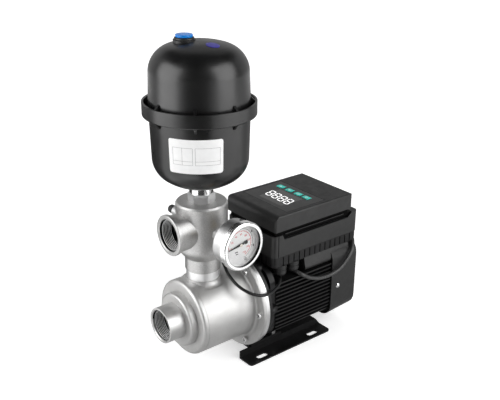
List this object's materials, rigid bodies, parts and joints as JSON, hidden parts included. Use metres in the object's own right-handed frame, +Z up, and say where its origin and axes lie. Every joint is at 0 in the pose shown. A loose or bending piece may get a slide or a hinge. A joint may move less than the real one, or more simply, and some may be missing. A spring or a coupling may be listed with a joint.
{
  "type": "variable speed pump",
  "caption": "Horizontal multistage water pump with a speed drive on its motor, a black pressure tank on a five-way fitting, a dial gauge and a pressure sensor.",
  "frame": {"origin": "centre of the four foot slots, on the floor", "axes": "+Z up; +X along the pump axis towards the fan; -Y towards the gauge"},
  "size_m": [0.3311, 0.1682, 0.4852],
  "materials": {
    "stainless_blasted": "bead blasted",
    "stainless_turned": "turned",
    "chrome": "polished",
    "bolt_steel": "bright",
    "black_paint": "satin black",
    "black_housing": "satin black",
    "tank_paint": "smooth satin black",
    "keypad_film": "printed film",
    "window": "smoked",
    "key_teal": "soft",
    "circuit": "lacquered",
    "cable_black": "satin",
    "rubber_black": "matt",
    "ceramic_white": "lapped",
    "carbon": "matt",
    "core_steel": "laminated",
    "copper": "lacquered wire",
    "fan_plastic": "moulded",
    "brass": "turned",
    "dial_white": "matt white",
    "pointer_black": "matt",
    "lens": "clear",
    "cap_blue": "moulded"
  },
  "bodies": {
    "frame": {"base_plate": "black_paint", "motor_bracket": "black_paint", "foot_bolts": "bolt_steel", "pump_casing": "stainless_blasted", "suction_port": "stainless_turned", "casing_back_plate": "stainless_turned", "casing_o_ring": "rubber_black", "flange_bolts": "bolt_steel", "stage_chambers": "stainless_turned", "seal_seat": "ceramic_white", "bearing_outer_rings": "bolt_steel", "bearing_balls": "bolt_steel", "stator_core": "core_steel", "stator_winding": "copper", "motor_housing": "black_paint", "rear_end_shield": "black_paint", "housing_bolts": "bolt_steel", "fan_cover": "black_housing", "fan_cover_screws": "bolt_steel", "drive_saddle": "black_housing", "drive_base": "black_paint", "drive_housing": "black_housing", "drive_lid": "black_housing", "keypad_panel": "keypad_film", "display_window": "window", "control_board": "circuit", "power_board": "circuit", "cable_glands": "black_housing", "sensor_cable": "cable_black", "motor_cable": "cable_black", "discharge_nipple": "stainless_turned", "five_way_fitting": "stainless_blasted", "tank_nipple": "stainless_turned", "tank_connection": "chrome", "tank_lower_shell": "tank_paint", "tank_upper_shell": "tank_paint", "tank_ring": "tank_paint", "tank_diaphragm": "rubber_black", "air_valve": "black_housing", "gauge_stem": "brass", "gauge_case": "chrome", "gauge_plug": "rubber_black", "gauge_bezel": "chrome", "gauge_lens": "lens", "gauge_dial": "dial_white", "pressure_sensor": "stainless_turned", "sensor_plug": "rubber_black"},
    "rotor": {"impellers": "stainless_turned", "impeller_nut": "bolt_steel", "shaft": "stainless_turned", "seal_head": "carbon", "bearing_inner_rings": "bolt_steel", "rotor_core": "core_steel", "fan": "fan_plastic"},
    "pointer": {"gauge_pointer": "pointer_black"},
    "key_1": {"button_1": "key_teal"},
    "key_2": {"button_2": "key_teal"},
    "key_3": {"button_3": "key_teal"},
    "key_4": {"button_4": "key_teal"},
    "cap": {"valve_cap": "cap_blue"}
  },
  "joints": [
    {"name": "rotor_spin", "type": "hinge", "parent": "frame", "child": "rotor", "pos_m": [0, 0, 0.088], "axis": [1, 0, 0], "continuous": true},
    {"name": "pointer_turn", "type": "hinge", "parent": "frame", "child": "pointer", "pos_m": [-0.12039, -0.07839, 0.2205], "axis": [-0.0523, 0.9986, 0], "range_deg": [0, 260], "stiffness_Nm_per_rad": 0.002},
    {"name": "key_1_press", "type": "slide", "parent": "frame", "child": "key_1", "axis": [0, 0, -1], "range_m": [0, 0.0008], "stiffness_N_per_m": 300},
    {"name": "key_2_press", "type": "slide", "parent": "frame", "child": "key_2", "axis": [0, 0, -1], "range_m": [0, 0.0008], "stiffness_N_per_m": 300},
    {"name": "key_3_press", "type": "slide", "parent": "frame", "child": "key_3", "axis": [0, 0, -1], "range_m": [0, 0.0008], "stiffness_N_per_m": 300},
    {"name": "key_4_press", "type": "slide", "parent": "frame", "child": "key_4", "axis": [0, 0, -1], "range_m": [0, 0.0008], "stiffness_N_per_m": 300},
    {"name": "cap_pull", "type": "slide", "parent": "frame", "child": "cap", "axis": [0, 0, 1], "range_m": [0, 0.012]}
  ]
}
